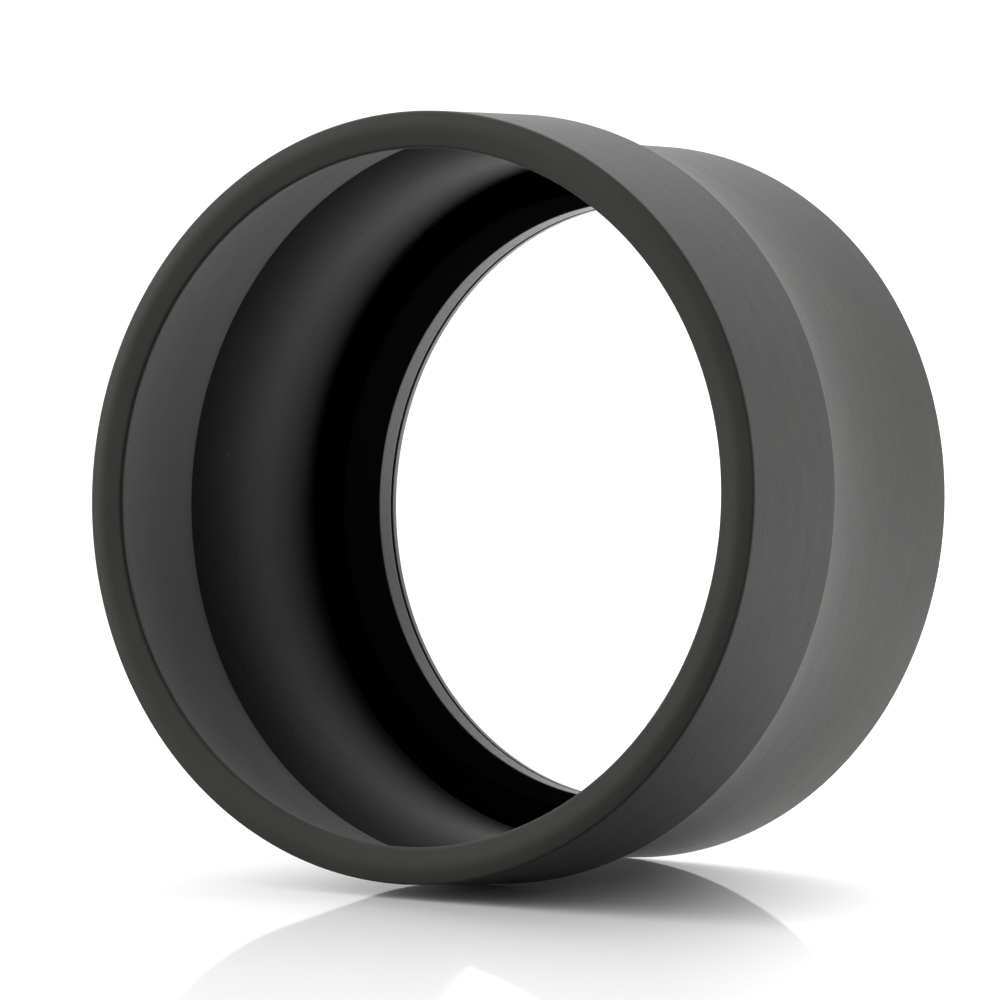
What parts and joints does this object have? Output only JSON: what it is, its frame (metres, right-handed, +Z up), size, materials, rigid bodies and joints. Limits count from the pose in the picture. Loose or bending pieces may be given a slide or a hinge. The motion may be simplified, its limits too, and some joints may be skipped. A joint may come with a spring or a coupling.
{
  "type": "collapsible silicone snoot",
  "caption": "Short two-stage silicone tube that narrows a round flash head's beam; its front stage pushes back over the rear stage, and a magnetic ring at the rear holds it on the head",
  "frame": {"origin": "centre of the flat rear mounting face, where the snoot meets the flash head", "axes": "+Y out of the rear face towards the flash head, along the tube's axis; the front lip faces -Y; +Z up, +X to the right seen from the front lip's side looking along +Y"},
  "size_m": [0.081, 0.0439, 0.081],
  "materials": {
    "front_cup": "matte dark-grey silicone with a soft sheen",
    "fold_web": "matte dark-grey silicone, thin and flexible",
    "rear_sleeve": "matte dark-grey silicone with a soft sheen",
    "throat_ring": "satin black moulded nylon",
    "magnet_ring": "satin dark-grey moulded nylon",
    "face_plate": "thin steel plate, fine black powder coat",
    "magnet": "nickel-plated neodymium disc",
    "plate_screw": "black-oxide steel, cross recess"
  },
  "bodies": {
    "rear_stage": {"rear_sleeve": "rear_sleeve", "fold_web": "fold_web", "throat_ring": "throat_ring", "magnet_ring": "magnet_ring", "face_plate": "face_plate", "magnet_01": "magnet", "magnet_02": "magnet", "magnet_03": "magnet", "magnet_04": "magnet", "magnet_05": "magnet", "magnet_06": "magnet", "magnet_07": "magnet", "magnet_08": "magnet", "magnet_09": "magnet", "magnet_10": "magnet", "magnet_11": "magnet", "magnet_12": "magnet", "plate_screw_1": "plate_screw", "plate_screw_2": "plate_screw", "plate_screw_3": "plate_screw", "plate_screw_4": "plate_screw"},
    "front_stage": {"front_cup": "front_cup"}
  },
  "joints": [
    {"name": "stage_push_back", "type": "slide", "parent": "rear_stage", "child": "front_stage", "axis": [0, 1, 0], "range_m": [0, 0.014], "deforming": ["fold_web"]}
  ]
}
